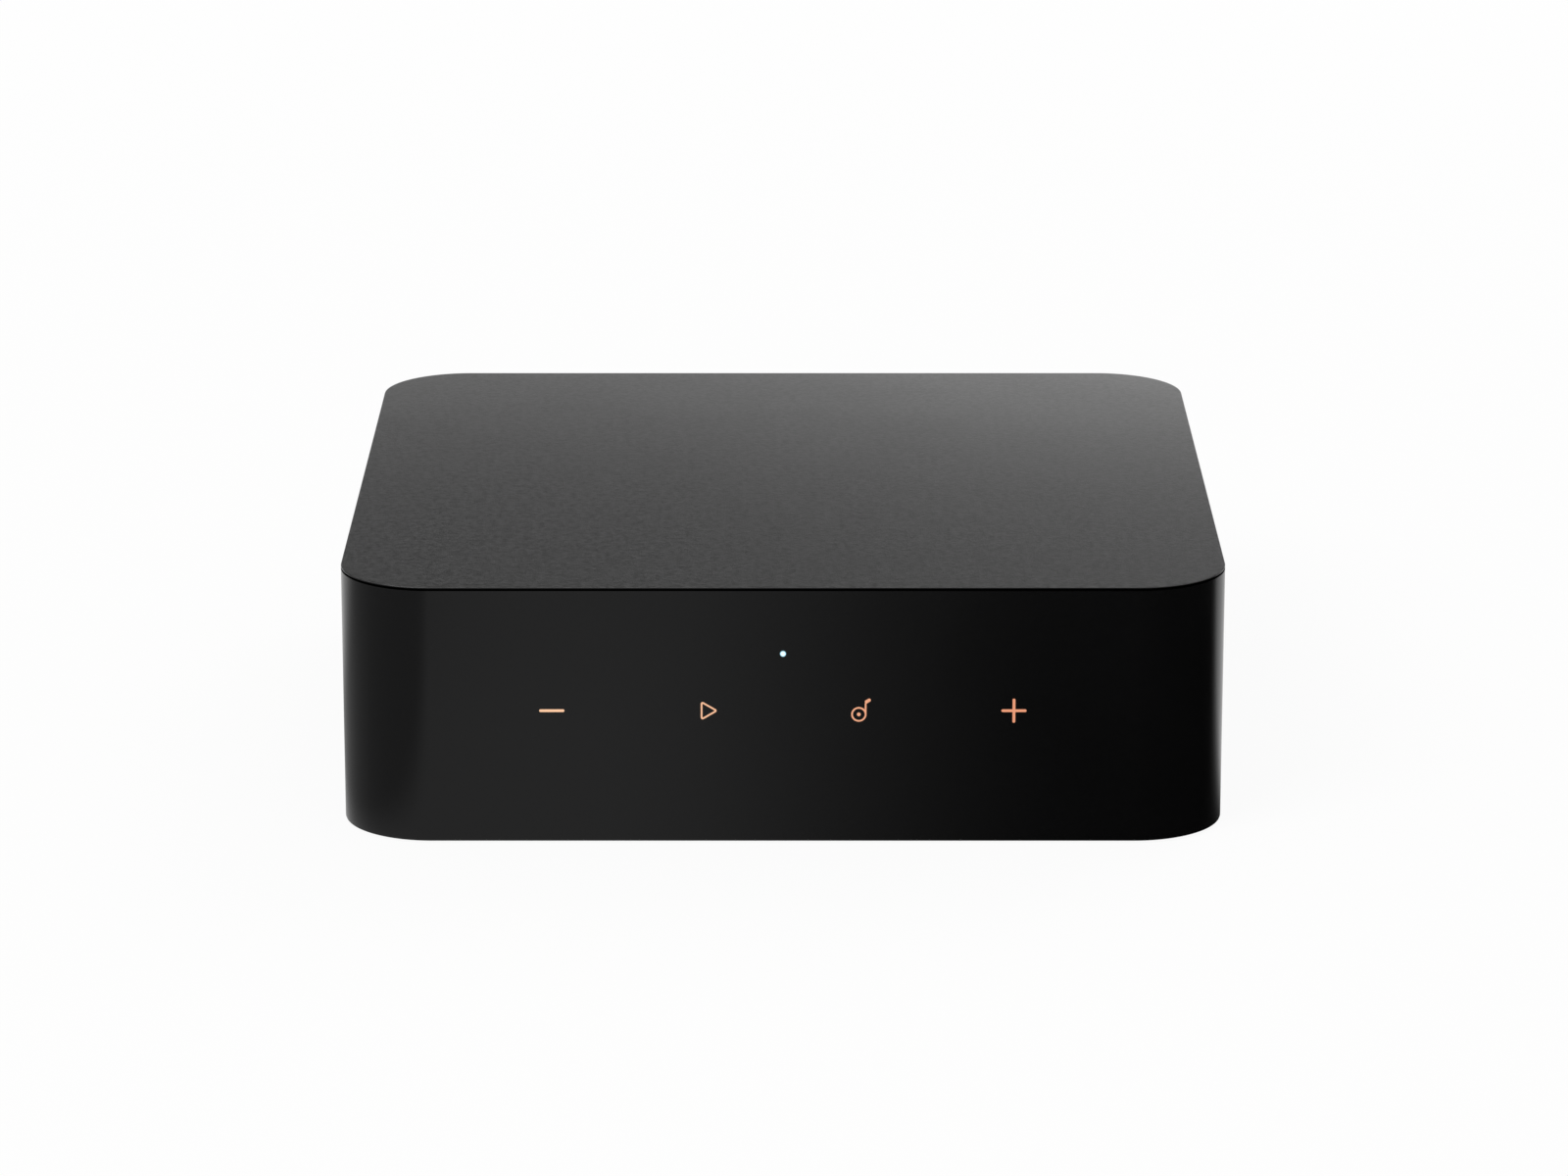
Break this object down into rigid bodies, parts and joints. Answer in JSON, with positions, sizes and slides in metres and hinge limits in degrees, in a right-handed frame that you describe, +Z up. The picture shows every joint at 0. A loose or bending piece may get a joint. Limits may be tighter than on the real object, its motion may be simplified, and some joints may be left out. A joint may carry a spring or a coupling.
{
  "type": "network music streamer",
  "caption": "Low square box with rounded corners, touch signs and a status light on its front wall, and phono, optical, network, trigger and power sockets on a rear panel.",
  "frame": {"origin": "middle of the case's footprint, on the surface that it stands on", "axes": "+Z up, +Y towards the rear sockets, +X to the right seen from the front"},
  "size_m": [0.14, 0.1485, 0.042],
  "materials": {
    "shell": "fine-textured matte roof, satin walls and edge",
    "panel": "fine matte mould texture",
    "cover": "fine matte mould texture",
    "foot": "matte soft rubber",
    "screw": "black-zinc plated, slightly oily",
    "board": "green solder resist over glass fibre",
    "chip": "moulded epoxy",
    "module_board": "blue solder resist",
    "shield": "tinned steel sheet",
    "thermal_pad": "soft filled silicone",
    "heat_sink": "extruded, satin",
    "capacitor": "drawn can, satin",
    "coil": "pressed ferrite",
    "crystal": "nickel-plated lid",
    "aerial": "thin green circuit board",
    "aerial_lead": "smooth grey jacket",
    "plug_gold": "gold flash",
    "touch_pad": "conductive foam",
    "led": "clear epoxy over a yellowish-white body",
    "light_pipe": "clear, lit from behind",
    "signal_window": "clear resin, one green and one amber",
    "ribbon": "laminated flat ribbon",
    "ribbon_socket": "natural nylon",
    "phono_block": "moulded, matte",
    "collar": "nickel plated",
    "core_white": "moulded, semi-gloss",
    "core_red": "moulded, semi-gloss",
    "core_orange": "moulded, semi-gloss",
    "contact": "gold flash",
    "optical_housing": "moulded, matte",
    "shutter": "moulded, satin",
    "hinge_pin": "drawn wire",
    "leaf_spring": "spring strip",
    "optical_element": "clear red epoxy",
    "socket_insert": "moulded, satin",
    "socket_steel": "nickel-plated sheet",
    "reset_key": "moulded, satin",
    "reset_switch": "moulded, matte"
  },
  "bodies": {
    "housing": {"top_shell": "shell", "bottom_cover": "cover", "foot_ring": "foot", "cover_screws": "screw", "main_board": "board", "board_screws": "screw", "streaming_module": "module_board", "module_shield": "shield", "thermal_pad": "thermal_pad", "heat_sink": "heat_sink", "audio_chips": "chip", "capacitors": "capacitor", "power_coils": "coil", "network_transformer": "chip", "crystals": "crystal", "aerial_left": "aerial", "aerial_right": "aerial", "aerial_lead_left": "aerial_lead", "aerial_lead_right": "aerial_lead", "aerial_plugs": "plug_gold", "touch_board": "board", "touch_pads": "touch_pad", "status_led": "led", "light_pipe": "light_pipe", "ribbon_sockets": "ribbon_socket", "touch_ribbon": "ribbon", "rear_panel": "panel", "panel_screws": "screw", "line_block": "phono_block", "coax_block": "phono_block", "line_in_collars": "collar", "line_out_collars": "collar", "coax_collar": "collar", "left_channel_cores": "core_white", "right_channel_cores": "core_red", "coax_core": "core_orange", "phono_contacts": "contact", "optical_in_housing": "optical_housing", "optical_out_housing": "optical_housing", "optical_hinge_pins": "hinge_pin", "optical_in_spring": "leaf_spring", "optical_out_spring": "leaf_spring", "optical_receiver": "optical_element", "optical_emitter": "optical_element", "ethernet_insert": "socket_insert", "ethernet_shield": "socket_steel", "ethernet_contacts": "contact", "ethernet_windows": "signal_window", "trigger_housing": "socket_insert", "trigger_nose": "socket_steel", "trigger_spring": "contact", "reset_switch": "reset_switch", "power_shell": "socket_steel", "power_tongue": "socket_insert"},
    "reset_key": {"reset_button": "reset_key", "reset_plunger": "reset_switch"},
    "optical_in_flap": {"optical_in_shutter": "shutter"},
    "optical_out_flap": {"optical_out_shutter": "shutter"}
  },
  "joints": [
    {"name": "reset_press", "type": "slide", "parent": "housing", "child": "reset_key", "axis": [0, -1, 0], "range_m": [0, 0.0004], "stiffness_N_per_m": 4000, "springref_m": -0.0001},
    {"name": "optical_in_shutter_hinge", "type": "hinge", "parent": "housing", "child": "optical_in_flap", "pos_m": [-0.00283, 0.0675, 0.0179], "axis": [-1, 0, 0], "range_deg": [0, 90], "stiffness_Nm_per_rad": 0.0008, "springref_deg": -22.92, "deforming": ["optical_in_spring"]},
    {"name": "optical_out_shutter_hinge", "type": "hinge", "parent": "housing", "child": "optical_out_flap", "pos_m": [0.00927, 0.0675, 0.0179], "axis": [-1, 0, 0], "range_deg": [0, 90], "stiffness_Nm_per_rad": 0.0008, "springref_deg": -22.92, "deforming": ["optical_out_spring"]}
  ]
}
